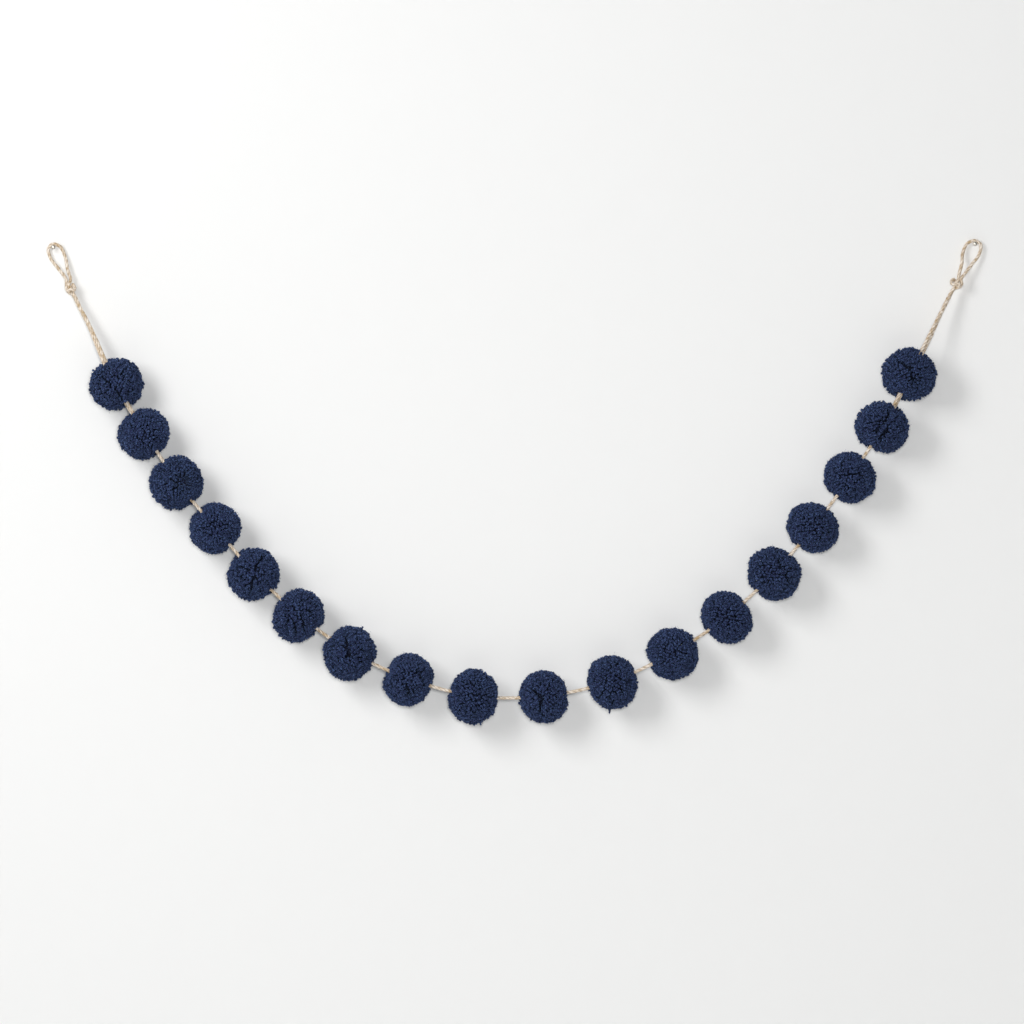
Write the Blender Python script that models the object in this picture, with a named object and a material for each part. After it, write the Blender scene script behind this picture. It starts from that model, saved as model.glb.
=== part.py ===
"""Pom-pom garland: navy yarn balls threaded on one length of jute twine, hung by its end loops on wall pins.

The origin is on the wall, at the middle of the left pin's back end. +X runs along the wall to the right,
+Y into the wall and +Z up, so the whole garland lies at negative Y. Sizes below are in millimetres.
"""

import math
import random
from collections import namedtuple

import bmesh
import bpy
import numpy as np
from mathutils import Matrix, Vector, noise

MM = 0.001
GAP = 0.3  # room between two pieces that touch

# Twine, of three plies
TWINE_DIAMETER = 3.2
TWINE_SIDES_RESOLUTION = 2
MAIN_STEPS = 78
LOOP_STEPS = 34
TAIL_STEPS = 16

# Depths from the wall, towards the room
LOOP_DEPTH = -3.4
KNOT_DEPTH = -11.6
POMPOM_DEPTH = -27.4
TWINE_IN_POMPOM_DEPTH = -31.4

# Wall pins
PIN_SHANK_DIAMETER = 1.6
PIN_HEAD_DIAMETER = 4.0
PIN_REACH = 7.2
PIN_HEAD_THICKNESS = 1.2
PIN_SIDES = 16
PIN_LEFT = (0.0, 0.0)
PIN_RIGHT = (856.3, 3.1)

# Pompoms: a ball of cut yarn with locks that stand out of it
BALL_POINTS = 180
BALL_INSET = 1.0
LUMP_HEIGHT = 1.0
LUMPS_PER_RADIUS = 2.3
BUMP_HEIGHT = 0.9
LOCKS = 16
LOCK_RISE = 2.2
LOCK_TIP = 0.62
LOCK_LEAN = 1.3
LOCK_FREE_ANGLE = math.radians(24)
STRAY_RISE = 5.0
STRAY_TIP = 0.3
STRAY_ANGLE = math.radians(9)
PARTING_LOWER = 4.0
PARTING_UPPER = 1.8
PARTING_ANGLE = math.radians(17)

# A row for each pompom, from the left: where its middle is, right of the left pin and below it, its size
# across the twine and along it, and the way that a stray strand points, if it has one, in degrees up from
# the right
Pompom = namedtuple("Pompom", "across drop width length stray", defaults=(None,))
POMPOMS = [
    Pompom(59.8, 128.0, 50.7, 48.5, 146),
    Pompom(85.4, 173.9, 49.6, 48.1),
    Pompom(115.5, 219.2, 50.7, 50.2),
    Pompom(151.1, 261.2, 49.5, 47.8),
    Pompom(187.1, 303.5, 49.9, 49.4),
    Pompom(228.3, 342.2, 51.6, 46.9),
    Pompom(275.9, 377.0, 50.3, 48.9, 64),
    Pompom(330.0, 401.5, 50.7, 46.7),
    Pompom(390.3, 417.0, 52.4, 47.4, 22),
    Pompom(455.3, 417.4, 50.9, 46.8),
    Pompom(519.1, 403.4, 51.9, 47.6, -92),
    Pompom(574.8, 377.1, 50.0, 48.7),
    Pompom(624.9, 343.5, 51.8, 46.9),
    Pompom(668.6, 303.3, 52.0, 49.4),
    Pompom(704.4, 260.6, 51.0, 46.6),
    Pompom(738.8, 214.1, 50.6, 47.1),
    Pompom(768.9, 167.7, 51.0, 48.1),
    Pompom(793.7, 118.8, 51.8, 49.4),
]

# A row for each knot: its middle, its size across the strands and along them, and the lean of the strands
Knot = namedtuple("Knot", "across drop width length lean")
KNOT_LEFT = Knot(16.9, 38.5, 9.8, 12.4, 26)
KNOT_RIGHT = Knot(838.4, 33.2, 12.4, 11.6, -27)
KNOT_FLATNESS = 0.92
KNOT_RINGS = 8
KNOT_SEGMENTS = 12

# A row for each turn of the twine round a knot: how far it tips from level, in degrees, and how high it sits
Turn = namedtuple("Turn", "tilt rise")
KNOT_TURNS = [Turn(34, 2.5), Turn(26, -2.7), Turn(-48, 0.0)]
KNOT_TURN_STEPS = 14

# The twine's route, point by point (across, drop, depth). From knot to knot it passes through each pompom, a
# little in front of its middle
MAIN_TOP_LEFT = [(18.2, 38.5, KNOT_DEPTH), (35.9, 73.8, -19.6)]
MAIN_TOP_RIGHT = [(819.0, 66.5, -19.6), (836.7, 33.0, KNOT_DEPTH)]

# Each loop, from the knot round the pin and back to the knot
LOOP_LEFT = [
    (18.4, 37.0, -11.0),
    (16.5, 31.2, -9.6),
    (13.6, 21.0, -7.2),
    (10.6, 7.6, -4.4),
    (5.9, -0.9, LOOP_DEPTH),
    (-0.2, -3.1, LOOP_DEPTH),
    (-4.5, 1.2, LOOP_DEPTH),
    (-3.2, 8.6, -4.4),
    (5.2, 20.4, -7.0),
    (12.9, 30.8, -9.6),
    (14.9, 37.0, -11.0),
]
LOOP_RIGHT = [
    (838.4, 31.6, -11.0),
    (841.0, 25.6, -9.6),
    (843.9, 14.4, -7.0),
    (845.1, 4.8, -4.2),
    (849.6, -3.9, LOOP_DEPTH),
    (855.9, -6.2, LOOP_DEPTH),
    (861.4, -2.4, LOOP_DEPTH),
    (860.6, 5.4, -4.2),
    (853.2, 16.0, -7.0),
    (845.4, 25.0, -9.6),
    (842.0, 30.8, -11.0),
]

# Tails: each lies beside the main strand, and ends inside the second pompom from its end
TAIL_SIDE = -1.0
TAIL_TURN = math.radians(50)
TAIL_END_IN_POMPOM = 9.0

NAVY = (0.0116, 0.0232, 0.0887, 1.0)
JUTE = (0.693, 0.521, 0.352, 1.0)
STEEL = (0.62, 0.62, 0.60, 1.0)


def clear_scene():
    """Removes every object, so that the file holds this model alone."""
    for obj in list(bpy.data.objects):
        bpy.data.objects.remove(obj, do_unlink=True)


def material(name, colour, roughness, metallic):
    """A Principled material of one colour."""
    made = bpy.data.materials.new(name)
    made.use_nodes = True
    shader = made.node_tree.nodes["Principled BSDF"]
    shader.inputs["Base Color"].default_value = colour
    shader.inputs["Roughness"].default_value = roughness
    shader.inputs["Metallic"].default_value = metallic
    made.diffuse_color = colour
    return made


def place(across, drop, depth):
    """A point in metres, from millimetres right of the left pin, below it and into the wall."""
    return Vector((across, depth, -drop)) * MM


def smooth_route(points, steps):
    """That many evenly spaced points on a cubic curve through the given ones, as rows in metres."""
    knots = np.array([place(*point) for point in points])
    gaps = np.linalg.norm(np.diff(knots, axis=0), axis=1)
    along = np.concatenate([[0.0], np.cumsum(gaps)])
    slopes = np.diff(knots, axis=0) / gaps[:, None]
    tangents = np.empty_like(knots)
    tangents[0], tangents[-1] = slopes[0], slopes[-1]
    before, after = gaps[:-1, None], gaps[1:, None]
    tangents[1:-1] = (slopes[:-1] * after + slopes[1:] * before) / (before + after)
    fine = np.linspace(0.0, along[-1], 40 * len(knots))
    span = np.clip(np.searchsorted(along, fine, side="right") - 1, 0, len(gaps) - 1)
    share = ((fine - along[span]) / gaps[span])[:, None]
    width = gaps[span][:, None]
    curve = (
        (2 * share**3 - 3 * share**2 + 1) * knots[span]
        + (share**3 - 2 * share**2 + share) * width * tangents[span]
        + (3 * share**2 - 2 * share**3) * knots[span + 1]
        + (share**3 - share**2) * width * tangents[span + 1]
    )
    return evenly(curve, steps)


def evenly(line, steps):
    """The line again, as that many evenly spaced points."""
    length = np.concatenate([[0.0], np.cumsum(np.linalg.norm(np.diff(line, axis=0), axis=1))])
    at = np.linspace(0.0, length[-1], steps)
    return np.stack([np.interp(at, length, line[:, axis]) for axis in range(3)], axis=1)


def beside(line):
    """The tail's line: the main strand's, moved one twine's width aside and turned a little way behind it."""
    tangents = np.gradient(line, axis=0)
    tangents /= np.linalg.norm(tangents, axis=1)[:, None]
    towards_wall = np.array([0.0, 1.0, 0.0])
    side = np.cross(tangents, towards_wall)
    side /= np.linalg.norm(side, axis=1)[:, None]
    behind = np.cross(side, tangents)
    behind *= np.sign(behind[:, 1])[:, None]
    side *= TAIL_SIDE
    turn = (TAIL_TURN * np.sin(np.linspace(0.0, math.pi, len(line))))[:, None]
    offset = (TWINE_DIAMETER + GAP) * MM
    return line + offset * (side * np.cos(turn) + behind * np.sin(turn))


def extended(line, overrun):
    """The line with both ends run on straight by that much."""
    if overrun == 0:
        return line
    first = line[0] - line[1]
    last = line[-1] - line[-2]
    first *= overrun / np.linalg.norm(first)
    last *= overrun / np.linalg.norm(last)
    return np.vstack([line[:1] + first, line, line[-1:] + last])


def tube(name, line, diameter, overrun=0.0, closed=False):
    """A round tube along the line, its ends capped or closed into a ring: a bevelled curve made a mesh."""
    points = extended(line, overrun * MM)
    curve = bpy.data.curves.new(name + "_line", "CURVE")
    curve.dimensions = "3D"
    curve.bevel_depth = diameter / 2 * MM
    curve.bevel_resolution = TWINE_SIDES_RESOLUTION
    curve.use_fill_caps = not closed
    spline = curve.splines.new("POLY")
    spline.points.add(len(points) - 1)
    spline.use_cyclic_u = closed
    for point, spot in zip(spline.points, points):
        point.co = (*spot, 1.0)
    carrier = bpy.data.objects.new(name + "_line", curve)
    bpy.context.collection.objects.link(carrier)
    bpy.context.view_layer.update()
    mesh = bpy.data.meshes.new_from_object(carrier.evaluated_get(bpy.context.evaluated_depsgraph_get()))
    bpy.data.objects.remove(carrier, do_unlink=True)
    built = bmesh.new()
    built.from_mesh(mesh)
    bmesh.ops.remove_doubles(built, verts=built.verts, dist=1e-6)
    bmesh.ops.recalc_face_normals(built, faces=built.faces)
    built.to_mesh(mesh)
    built.free()
    return link(name, mesh)


def link(name, mesh):
    """An object of that name in the scene."""
    obj = bpy.data.objects.new(name, mesh)
    bpy.context.collection.objects.link(obj)
    return obj


def helper(obj):
    """Marks an object that only shapes others."""
    obj.hide_render = True
    obj.display_type = "WIRE"
    return obj


def boolean(obj, other, operation):
    """Joins the other solid to this one, or cuts it from this one."""
    step = obj.modifiers.new(other.name, "BOOLEAN")
    step.operation = operation
    step.solver = "EXACT"
    step.object = other


def knot(name, row):
    """A round knot, as a list of solids to be joined: its core and the turns of twine that stand out of it."""
    lean = Matrix.Rotation(math.radians(-row.lean), 4, "Y")
    seat = Matrix.Translation(place(row.across, row.drop, KNOT_DEPTH)) @ lean
    inner = row.width / 2 - TWINE_DIAMETER / 2
    built = bmesh.new()
    bmesh.ops.create_uvsphere(built, u_segments=KNOT_SEGMENTS, v_segments=KNOT_RINGS, radius=MM)
    bmesh.ops.scale(built, verts=built.verts, vec=(inner, inner * KNOT_FLATNESS, row.length / 2))
    mesh = bpy.data.meshes.new(name)
    built.to_mesh(mesh)
    built.free()
    core = link(name, mesh)
    core.matrix_world = seat
    solids = [core]
    angles = np.linspace(0.0, math.tau, KNOT_TURN_STEPS, endpoint=False)
    level = np.stack([np.cos(angles), KNOT_FLATNESS * np.sin(angles), 0 * angles], axis=1) * inner * MM
    for number, turn in enumerate(KNOT_TURNS, start=1):
        solid = tube(f"{name}_turn_{number}", level, TWINE_DIAMETER, closed=True)
        tip = Matrix.Rotation(math.radians(turn.tilt), 4, "Y")
        solid.matrix_world = seat @ Matrix.Translation((0.0, 0.0, turn.rise * MM)) @ tip
        solids.append(solid)
    return solids


def pin(name, across, height, finish):
    """A plain wall pin: a shank that stands out of the wall and a low domed head, turned about its axis."""
    shank, head = PIN_SHANK_DIAMETER / 2, PIN_HEAD_DIAMETER / 2
    under_head = PIN_REACH - PIN_HEAD_THICKNESS
    profile = [
        (0.0, 0.0),
        (shank, 0.0),
        (shank, under_head),
        (head, under_head),
        (head, under_head + 0.4 * PIN_HEAD_THICKNESS),
        (0.7 * head, under_head + 0.85 * PIN_HEAD_THICKNESS),
        (0.0, PIN_REACH),
    ]
    built = bmesh.new()
    rim = [built.verts.new((radius * MM, -out * MM, 0.0)) for radius, out in profile]
    edges = [built.edges.new(pair) for pair in zip(rim, rim[1:])]
    bmesh.ops.spin(
        built,
        geom=rim + edges,
        cent=(0.0, 0.0, 0.0),
        axis=(0.0, 1.0, 0.0),
        angle=math.tau,
        steps=PIN_SIDES,
        use_merge=True,
    )
    bmesh.ops.remove_doubles(built, verts=built.verts, dist=1e-6)
    bmesh.ops.recalc_face_normals(built, faces=built.faces)
    mesh = bpy.data.meshes.new(name)
    built.to_mesh(mesh)
    built.free()
    mesh.shade_smooth()
    mesh.set_sharp_from_angle(angle=math.radians(40))
    mesh.materials.append(finish)
    obj = link(name, mesh)
    obj.location = (across * MM, 0.0, height * MM)
    return obj


def spread_directions(count, turn):
    """Unit vectors spread evenly over a sphere, along a spiral from pole to pole."""
    golden = math.pi * (3 - math.sqrt(5))
    rows = []
    for index in range(count):
        height = 1 - (2 * index + 1) / count
        level = math.sqrt(1 - height * height)
        angle = index * golden + turn
        rows.append(Vector((level * math.cos(angle), level * math.sin(angle), height)))
    return rows


def ball_radius(direction, row, exits, offset):
    """The pompom's radius that way, in millimetres: its oval, its lumps, and its parting at the twine's ends."""
    across = (direction.x**2 + direction.y**2) / (row.width / 2) ** 2
    along = direction.z**2 / (row.length / 2) ** 2
    radius = 1 / math.sqrt(across + along)
    radius += LUMP_HEIGHT * noise.noise(direction * LUMPS_PER_RADIUS + offset)
    for exit_direction, depth in exits:
        away = direction.angle(exit_direction) / PARTING_ANGLE
        radius -= depth * math.exp(-away * away)
    return radius


def pompom_mesh(name, row, number, exits, wallwards, stray):
    """One pompom about its own middle, +Z along the twine and +X to the room, with no lock at the wall."""
    offset = Vector((number * 7.3, number * 3.1, number * 5.7))
    built = bmesh.new()
    for direction in spread_directions(BALL_POINTS, turn=number * 0.9):
        built.verts.new(direction)
    bmesh.ops.convex_hull(built, input=built.verts)
    trim = random.Random(number)
    for vertex in built.verts:
        direction = vertex.co.normalized()
        radius = ball_radius(direction, row, exits, offset) - BALL_INSET
        vertex.co = direction * (radius + trim.uniform(-BUMP_HEIGHT, BUMP_HEIGHT)) * MM
    built.faces.ensure_lookup_table()
    wanted = spread_directions(LOCKS, turn=number * 1.7)
    if stray is not None:
        nearest = min(wanted, key=stray.angle)
        wanted[wanted.index(nearest)] = stray
    bare = [exit_direction for exit_direction, _ in exits] + [wallwards]
    locks = set()
    for direction in wanted:
        if all(direction.angle(way) > LOCK_FREE_ANGLE for way in bare):
            locks.add(min(built.faces, key=lambda face: face.calc_center_median().angle(direction)))
    made = bmesh.ops.extrude_discrete_faces(built, faces=sorted(locks, key=lambda face: face.index))
    for top in made["faces"]:
        middle = top.calc_center_median()
        outwards = middle.normalized()
        lean = Vector(trim.uniform(-LOCK_LEAN, LOCK_LEAN) for _ in range(3))
        rise, tip = LOCK_RISE, LOCK_TIP
        if stray is not None and outwards.angle(stray) < STRAY_ANGLE:
            rise, tip = STRAY_RISE, STRAY_TIP
        for vertex in top.verts:
            vertex.co = middle + (vertex.co - middle) * tip + (outwards * rise + lean) * MM
    bmesh.ops.recalc_face_normals(built, faces=built.faces)
    mesh = bpy.data.meshes.new(name)
    built.to_mesh(mesh)
    built.free()
    return mesh


def pompom(number, row, tangent, bores, finish):
    """One pompom in its place on the twine, bored for each strand that runs through it."""
    name = f"pompom_{number:02d}"
    along = Vector(tangent).normalized()
    sideways = along.cross(Vector((0.0, -1.0, 0.0))).normalized()
    front = sideways.cross(along)
    turn = Matrix((front, sideways, along)).transposed()
    forward = POMPOM_DEPTH - TWINE_IN_POMPOM_DEPTH
    exits = []
    for way in (1.0, -1.0):
        depth = PARTING_LOWER if along.z * way < 0 else PARTING_UPPER
        exits.append((Vector((forward, 0.0, way * row.length / 2)).normalized(), depth))
    stray = None
    if row.stray is not None:
        angle = math.radians(row.stray)
        stray = turn.transposed() @ Vector((math.cos(angle), 0.0, math.sin(angle)))
    wallwards = turn.transposed() @ Vector((0.0, 1.0, 0.0))
    mesh = pompom_mesh(name, row, number, exits, wallwards, stray)
    mesh.materials.append(finish)
    obj = link(name, mesh)
    obj.matrix_world = Matrix.Translation(place(row.across, row.drop, POMPOM_DEPTH)) @ turn.to_4x4()
    for bore in bores:
        boolean(obj, bore, "DIFFERENCE")
    return obj


def stretch(line, first, last):
    """The part of a line between its points nearest to two places."""
    start = int(np.linalg.norm(line - np.array(first), axis=1).argmin())
    stop = int(np.linalg.norm(line - np.array(last), axis=1).argmin())
    return line[start : stop + 1]


def main():
    clear_scene()
    navy_yarn = material("navy_yarn", NAVY, 0.9, 0.0)
    jute_twine = material("jute_twine", JUTE, 0.85, 0.0)
    bright_steel = material("bright_steel", STEEL, 0.35, 1.0)

    middles = [(row.across, row.drop, TWINE_IN_POMPOM_DEPTH) for row in POMPOMS]
    main_line = smooth_route(MAIN_TOP_LEFT + middles + MAIN_TOP_RIGHT, MAIN_STEPS)
    fine_line = smooth_route(MAIN_TOP_LEFT + middles + MAIN_TOP_RIGHT, MAIN_STEPS * 8)
    left_end = place(middles[1][0], middles[1][1] - TAIL_END_IN_POMPOM, middles[1][2])
    right_end = place(middles[-2][0], middles[-2][1] - TAIL_END_IN_POMPOM, middles[-2][2])
    tail_left = beside(evenly(stretch(fine_line, fine_line[0], left_end), TAIL_STEPS))
    tail_right = beside(evenly(stretch(fine_line, right_end, fine_line[-1]), TAIL_STEPS))

    twine = tube("twine", main_line, TWINE_DIAMETER)
    twine.data.materials.append(jute_twine)
    joined = [
        tube("loop_left", smooth_route(LOOP_LEFT, LOOP_STEPS), TWINE_DIAMETER),
        tube("loop_right", smooth_route(LOOP_RIGHT, LOOP_STEPS), TWINE_DIAMETER),
        tube("tail_left", tail_left, TWINE_DIAMETER),
        tube("tail_right", tail_right, TWINE_DIAMETER),
        *knot("knot_left", KNOT_LEFT),
        *knot("knot_right", KNOT_RIGHT),
    ]
    for piece in joined:
        boolean(twine, helper(piece), "UNION")

    bore_diameter = TWINE_DIAMETER + 2 * GAP
    main_bore = helper(tube("main_bore", main_line, bore_diameter))
    bore_left = helper(tube("bore_left", tail_left, bore_diameter, overrun=GAP))
    bore_right = helper(tube("bore_right", tail_right, bore_diameter, overrun=GAP))
    tangents = np.gradient(main_line, axis=0)
    for number, row in enumerate(POMPOMS, start=1):
        middle = np.array(place(*middles[number - 1]))
        tangent = tangents[np.linalg.norm(main_line - middle, axis=1).argmin()]
        bores = [main_bore]
        bores += [bore_left] * (number <= 2)
        bores += [bore_right] * (number >= len(POMPOMS) - 1)
        pompom(number, row, tangent, bores, navy_yarn)

    pin("wall_pin_left", *PIN_LEFT, bright_steel)
    pin("wall_pin_right", *PIN_RIGHT, bright_steel)


main()
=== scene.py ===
"""Pom-pom garland, dressed: eighteen navy yarn pompoms on jute twine, hung by its loops on two wall pins.

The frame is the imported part's: the origin is on the wall at the left pin, +X runs along the wall, +Y into it
and +Z up. Sizes are in millimetres, and become metres where a mesh is made.
"""

import logging
import math
from dataclasses import dataclass, field
from enum import Enum

import bpy
import numpy as np
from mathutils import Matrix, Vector


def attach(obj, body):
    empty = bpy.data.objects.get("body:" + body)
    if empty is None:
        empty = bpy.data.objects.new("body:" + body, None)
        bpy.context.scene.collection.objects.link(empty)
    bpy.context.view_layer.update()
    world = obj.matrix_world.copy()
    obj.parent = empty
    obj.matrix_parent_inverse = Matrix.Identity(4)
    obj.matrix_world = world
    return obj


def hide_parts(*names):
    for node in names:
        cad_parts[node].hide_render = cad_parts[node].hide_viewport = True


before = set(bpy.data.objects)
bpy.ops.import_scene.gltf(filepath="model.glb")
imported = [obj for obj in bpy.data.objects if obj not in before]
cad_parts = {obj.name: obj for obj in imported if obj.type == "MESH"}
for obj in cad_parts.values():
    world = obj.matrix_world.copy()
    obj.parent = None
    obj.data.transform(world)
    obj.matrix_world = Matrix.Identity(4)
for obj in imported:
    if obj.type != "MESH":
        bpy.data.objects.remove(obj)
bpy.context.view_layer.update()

MM = 0.001
TO_ROOM = np.array([0.0, -1.0, 0.0])
OFF_WALL = -0.1  # The nearest that a strand or hair comes to the wall
Exits = list[tuple[np.ndarray, float, float]]
log = logging.getLogger("garland")


class Side(Enum):
    """An end of the garland, with the sign of its outer side along +X."""

    LEFT = -1
    RIGHT = 1


class Lie(Enum):
    """How the cut strands lie at a place on a pompom."""

    PARTING = "ends stand apart along a line"
    SWEPT = "strands lie over, all one way"
    FAN = "strands lie over, away from a middle"
    HOLLOW = "ends are shorter, round a middle"


def linear(code: str) -> tuple[float, float, float, float]:
    """Turns an sRGB colour linear.

    Args:
        code: the colour as a hash sign and six hex digits.

    Returns:
        Red, green, blue and a full alpha, each from 0 to 1: below 0.04045 the value over 12.92, and above
        it the 2.4th power of the value plus 0.055 over 1.055.
    """
    parts = np.array([int(code[start : start + 2], 16) for start in (1, 3, 5)]) / 255
    straight = np.where(parts <= 0.04045, parts / 12.92, ((parts + 0.055) / 1.055) ** 2.4)
    return (*straight.tolist(), 1.0)


def add_node(
    tree: bpy.types.NodeTree, kind: str, inputs: dict | None = None, **settings: object
) -> bpy.types.Node:
    """Adds a node with its settings and links.

    Args:
        tree: the node tree that it goes into.
        kind: the node's Blender type.
        inputs: for each socket's name or number, a value, or the output socket that is linked to it.
        settings: the node's own properties.

    Returns:
        The node.
    """
    node = tree.nodes.new(kind)
    for name, value in settings.items():
        setattr(node, name, value)
    for socket, value in (inputs or {}).items():
        if isinstance(value, bpy.types.NodeSocket):
            tree.links.new(value, node.inputs[socket])
        else:
            node.inputs[socket].default_value = value
    return node


def put(name: str, data: bpy.types.ID) -> bpy.types.Object:
    """An object of that name in the scene, with that mesh, lamp or camera."""
    made = bpy.data.objects.new(name, data)
    bpy.context.scene.collection.objects.link(made)
    return made


def blank_material(name: str) -> bpy.types.Material:
    """A material of that name, with no nodes yet."""
    made = bpy.data.materials.new(name)
    made.use_nodes = True
    made.node_tree.nodes.clear()
    return made


def mixed(
    tree: bpy.types.NodeTree, share: object, first: object, second: object, blend: str = "MIX"
) -> bpy.types.NodeSocket:
    """Two colours mixed by a share, as an output socket."""
    inputs = {0: share, 6: first, 7: second}
    return add_node(tree, "ShaderNodeMix", inputs, data_type="RGBA", blend_type=blend).outputs[2]


def ranged(
    tree: bpy.types.NodeTree, value: object, source: tuple[float, float], target: tuple[float, float]
) -> bpy.types.NodeSocket:
    """A value carried from one range to another, as an output socket."""
    names = ("Value", "From Min", "From Max", "To Min", "To Max")
    return add_node(tree, "ShaderNodeMapRange", dict(zip(names, (value, *source, *target)))).outputs["Result"]


def noise(tree: bpy.types.NodeTree, vector: object, scale: float, detail: float) -> bpy.types.NodeSocket:
    """Noise at a point, as an output socket."""
    return add_node(
        tree, "ShaderNodeTexNoise", {"Vector": vector, "Scale": scale, "Detail": detail}
    ).outputs["Fac"]


def worked(tree: bpy.types.NodeTree, operation: str, *values: object) -> bpy.types.NodeSocket:
    """What a maths node makes of those values, as an output socket."""
    return add_node(tree, "ShaderNodeMath", dict(enumerate(values)), operation=operation).outputs[0]


def bumped(
    tree: bpy.types.NodeTree, height: object, strength: float, distance: float
) -> bpy.types.NodeSocket:
    """A normal tilted by a height, as an output socket."""
    inputs = {"Strength": strength, "Distance": distance, "Height": height}
    return add_node(tree, "ShaderNodeBump", inputs).outputs["Normal"]


def principled(tree: bpy.types.NodeTree, inputs: dict) -> None:
    """Adds the main shader with those inputs, and the output that it goes to."""
    shader = add_node(tree, "ShaderNodeBsdfPrincipled", inputs)
    add_node(tree, "ShaderNodeOutputMaterial", {"Surface": shader.outputs[0]})


def unit(rows: np.ndarray) -> np.ndarray:
    """Each row of numbers over its own length."""
    return rows / np.maximum(np.linalg.norm(rows, axis=-1, keepdims=True), 1e-12)


def ripple(points: np.ndarray, size: float, seed: int) -> np.ndarray:
    """Smooth noise in space: the sum of sixteen plane waves of about one length, in random directions.

    Args:
        points: rows of x, y and z.
        size: the waves' usual length, in the points' own unit.
        seed: the number that the directions come from.

    Returns:
        One value a point, mostly between -1 and 1.
    """
    draw = np.random.default_rng(seed)
    ways = unit(draw.normal(size=(16, 3))) * (math.tau / size) * draw.uniform(0.6, 1.4, (16, 1))
    return np.cos(points @ ways.T + draw.uniform(0.0, math.tau, 16)).sum(axis=-1) / 5.6


def turns_of(sides: int) -> np.ndarray:
    """That many angles, evenly round a full turn."""
    return np.arange(sides) * math.tau / sides


def outer_side(ways: np.ndarray, first: np.ndarray) -> np.ndarray:
    """Square to each way in the wall's plane, on the upper side of the first way: where a tail lies."""
    return unit(np.cross(ways, TO_ROOM)) * np.sign(np.cross(first, TO_ROOM)[2]) * -1.0


@dataclass(frozen=True)
class Skin:
    """Points, faces and what is painted on them, of one mesh or of many that are joined."""

    points: np.ndarray
    faces: list[np.ndarray]
    marks: np.ndarray
    uv: list[np.ndarray]

    def mesh_object(self, name: str, material: bpy.types.Material) -> bpy.types.Object:
        """Makes the mesh object, smooth shaded, with its UV map and its marks as an attribute.

        Args:
            name: the piece's name.
            material: what it is dressed in.

        Returns:
            The object, at the origin, with its place in its mesh.
        """
        mesh = bpy.data.meshes.new(name)
        corners = np.concatenate([rows.ravel() for rows in self.faces]).astype(np.int32)
        sizes = np.concatenate([np.full(len(rows), rows.shape[1]) for rows in self.faces])
        starts = np.concatenate([[0], np.cumsum(sizes)[:-1]]).astype(np.int32)
        mesh.vertices.add(len(self.points))
        mesh.vertices.foreach_set("co", (self.points * MM).astype(np.float32).ravel())
        mesh.loops.add(len(corners))
        mesh.loops.foreach_set("vertex_index", corners)
        mesh.polygons.add(len(sizes))
        mesh.polygons.foreach_set("loop_start", starts)
        mesh.update(calc_edges=True)
        layer = mesh.uv_layers.new(name="along")
        flat = np.concatenate([rows.reshape(-1, 2) for rows in self.uv]).astype(np.float32)
        layer.uv.foreach_set("vector", flat.ravel())
        marks = mesh.attributes.new("marks", "FLOAT_COLOR", "POINT")
        marks.data.foreach_set("color", self.marks.astype(np.float32).ravel())
        mesh.shade_smooth()
        mesh.materials.append(material)
        made = put(name, mesh)
        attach(made, "root")
        log.info("%s: %d points, %d faces", name, len(self.points), len(sizes))
        return made


def joined(skins: list[Skin]) -> Skin:
    """Several skins as one, each one's faces counted on past the points of those before it."""
    firsts = np.cumsum([0] + [len(skin.points) for skin in skins[:-1]])
    return Skin(
        points=np.vstack([skin.points for skin in skins]),
        faces=[rows + first for skin, first in zip(skins, firsts) for rows in skin.faces],
        marks=np.vstack([skin.marks for skin in skins]),
        uv=[rows for skin in skins for rows in skin.uv],
    )


def capped_rings(rings: np.ndarray, tips: np.ndarray, heights: np.ndarray, marks: np.ndarray) -> Skin:
    """Closes many stacks of rings at once: quads from ring to ring, a flat cap at the foot, a fan at the tip.

    Args:
        rings: points as stack, ring, side and x, y, z; the sides turn anticlockwise, seen from the tip.
        tips: one point for each stack.
        heights: the V of each ring and then of the tip.
        marks: the four numbers painted on each ring's points and then on the tip, as stack, ring and four.

    Returns:
        The skin, with U running round each stack.
    """
    stacks, levels, sides = rings.shape[:3]
    points = np.concatenate([rings.reshape(stacks, levels * sides, 3), tips[:, None]], axis=1)
    here = np.arange(sides)
    after = (here + 1) % sides
    level = (np.arange(levels - 1) * sides)[:, None]
    quads = np.stack([level + here, level + after, level + sides + after, level + sides + here], axis=-1)
    top = (levels - 1) * sides
    fan = np.stack([top + here, top + after, np.full(sides, levels * sides)], axis=-1)
    foot = here[::-1][None]
    first = (np.arange(stacks) * (levels * sides + 1))[:, None, None]
    left, right = here / sides, (here + 1) / sides
    low, high = heights[:-2, None], heights[1:-1, None]
    last, over = np.full(sides, heights[-2]), np.full(sides, heights[-1])
    quad_uv, fan_uv = (
        np.stack([np.stack(np.broadcast_arrays(u, v), axis=-1) for u, v in corners], axis=-2)
        for corners in (
            ((left, low), (right, low), (right, high), (left, high)),
            ((left, last), (right, last), ((left + right) / 2, over)),
        )
    )
    foot_uv = np.stack([left[::-1], np.full(sides, heights[0])], axis=-1)[None]
    flat = [rows.reshape(1, -1, rows.shape[-2], 2) for rows in (quad_uv, fan_uv, foot_uv)]
    ring_marks = np.repeat(marks[:, :-1], sides, axis=1)
    return Skin(
        points=points.reshape(-1, 3),
        faces=[
            (quads.reshape(1, -1, 4) + first).reshape(-1, 4),
            (fan[None] + first).reshape(-1, 3),
            (foot[None] + first).reshape(-1, sides),
        ],
        marks=np.concatenate([ring_marks, marks[:, -1:]], axis=1).reshape(-1, 4),
        uv=[np.broadcast_to(rows, (stacks, *rows.shape[1:])) for rows in flat],
    )


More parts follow.
